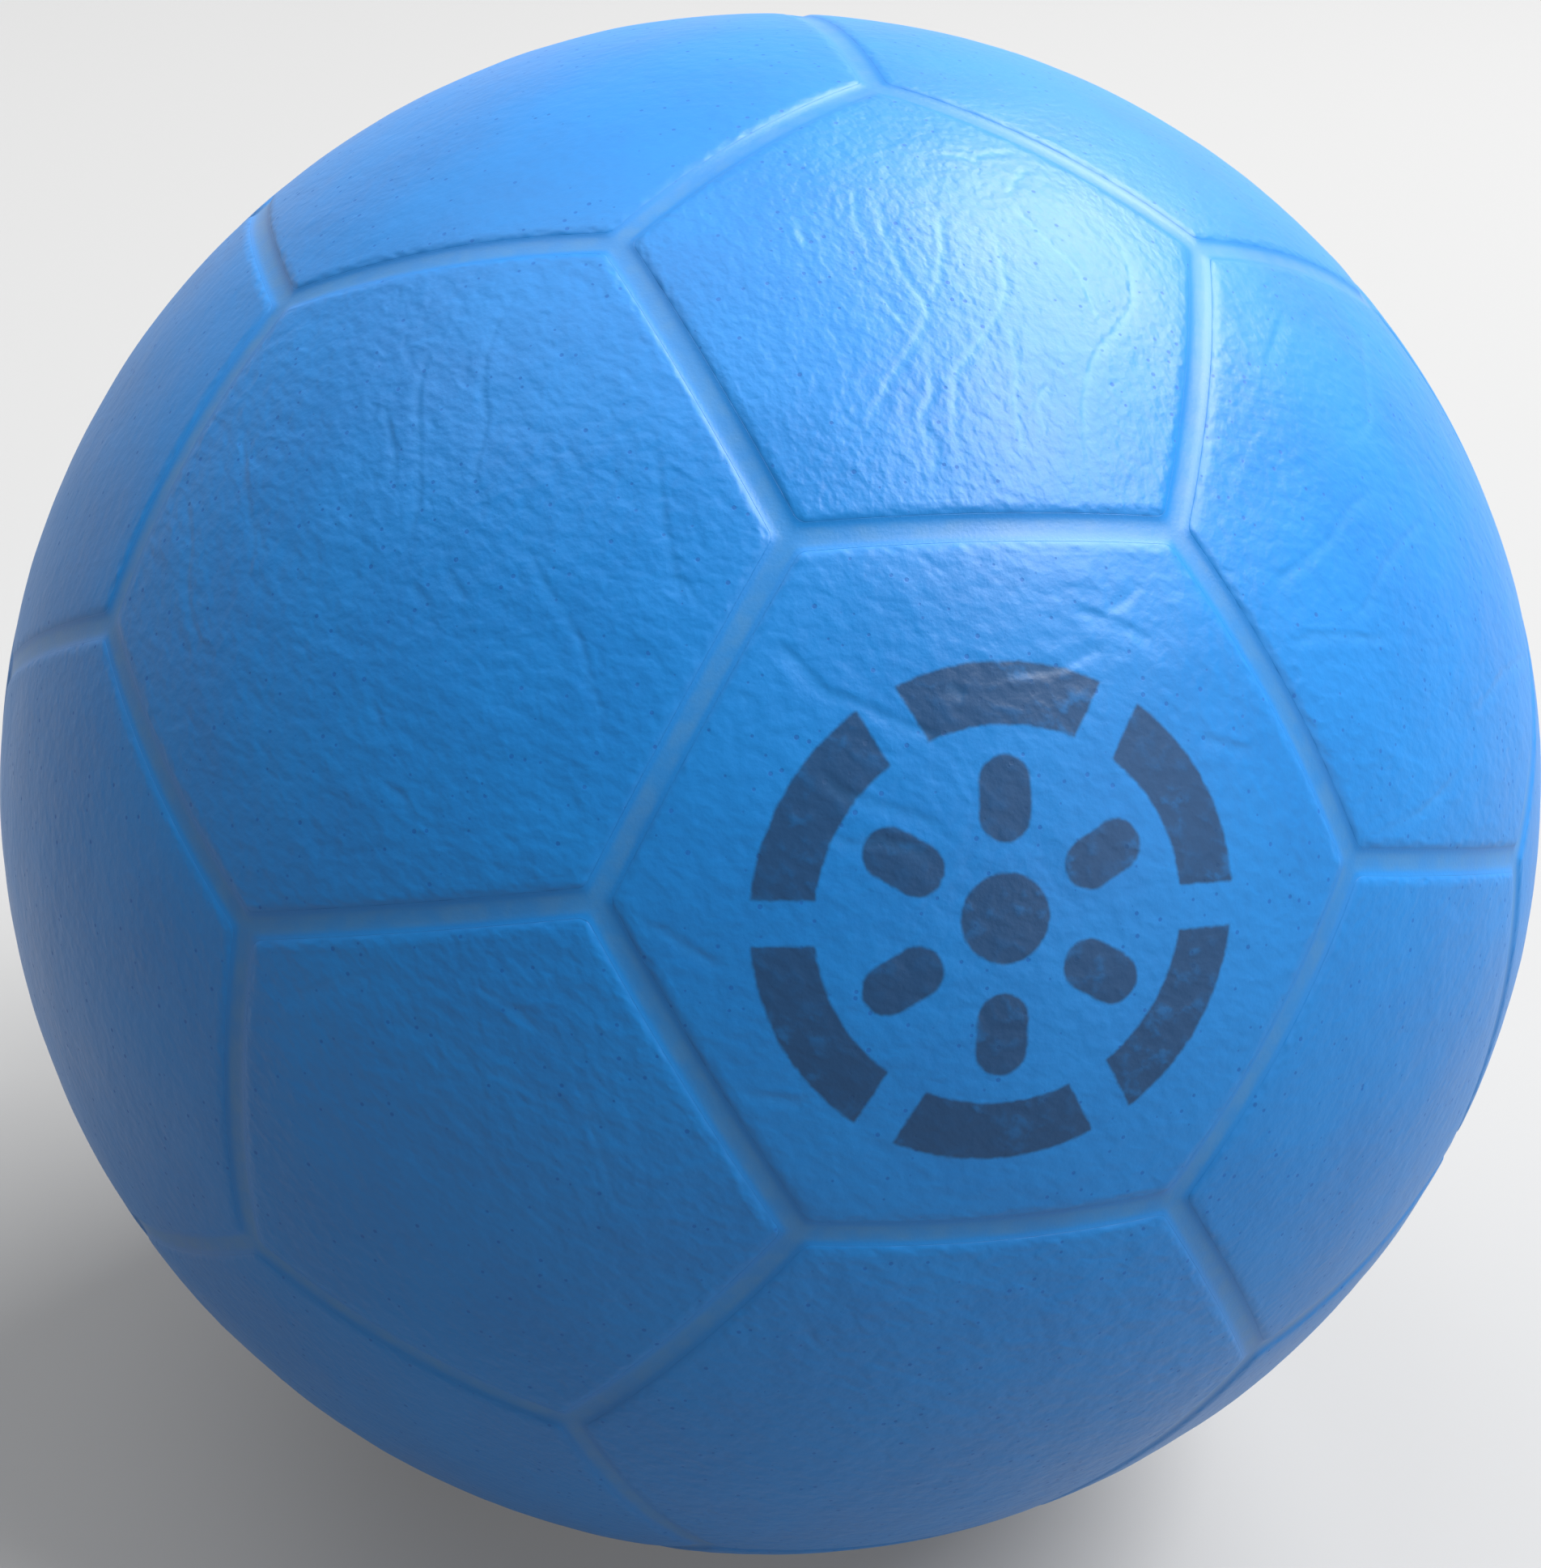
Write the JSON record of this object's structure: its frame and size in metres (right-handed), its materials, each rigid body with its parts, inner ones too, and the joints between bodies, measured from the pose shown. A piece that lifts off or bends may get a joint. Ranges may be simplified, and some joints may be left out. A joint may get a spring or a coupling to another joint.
{
  "type": "indoor soccer ball",
  "caption": "Indoor soccer ball: pentagon and hexagon panels bonded between the seam ribs of a moulded carcass, over a wound bladder with a needle valve.",
  "frame": {"origin": "the ball's centre", "axes": "+X, +Y and +Z each leave through the middle of a seam between two hexagons; the front panel faces -Y and the valve faces +Y, raised 21 degrees towards +Z"},
  "size_m": [0.1996, 0.1996, 0.1996],
  "materials": {
    "panel_skin": "satin blue synthetic leather with a fine pebble and creases",
    "carcass_rubber": "smooth blue moulded rubber with dust along the seam floors",
    "winding_yarn": "matt undyed yarn set in latex",
    "bladder_rubber": "smooth black butyl",
    "valve_rubber": "matt black moulded rubber"
  },
  "bodies": {
    "root": {"bladder": "bladder_rubber", "hexagon_panel_01": "panel_skin", "hexagon_panel_02": "panel_skin", "hexagon_panel_03": "panel_skin", "hexagon_panel_04": "panel_skin", "hexagon_panel_05": "panel_skin", "hexagon_panel_06": "panel_skin", "hexagon_panel_07": "panel_skin", "hexagon_panel_08": "panel_skin", "hexagon_panel_09": "panel_skin", "hexagon_panel_10": "panel_skin", "hexagon_panel_11": "panel_skin", "hexagon_panel_12": "panel_skin", "hexagon_panel_13": "panel_skin", "hexagon_panel_14": "panel_skin", "hexagon_panel_15": "panel_skin", "hexagon_panel_16": "panel_skin", "hexagon_panel_17": "panel_skin", "hexagon_panel_18": "panel_skin", "hexagon_panel_19": "panel_skin", "hexagon_panel_20": "panel_skin", "pentagon_panel_01": "panel_skin", "pentagon_panel_02": "panel_skin", "pentagon_panel_03": "panel_skin", "pentagon_panel_04": "panel_skin", "pentagon_panel_05": "panel_skin", "pentagon_panel_06": "panel_skin", "pentagon_panel_07": "panel_skin", "pentagon_panel_08": "panel_skin", "pentagon_panel_09": "panel_skin", "pentagon_panel_10": "panel_skin", "pentagon_panel_11": "panel_skin", "pentagon_panel_12": "panel_skin", "seam_carcass": "carcass_rubber", "thread_winding": "winding_yarn", "valve_body": "valve_rubber", "valve_core": "valve_rubber"}
  },
  "joints": []
}
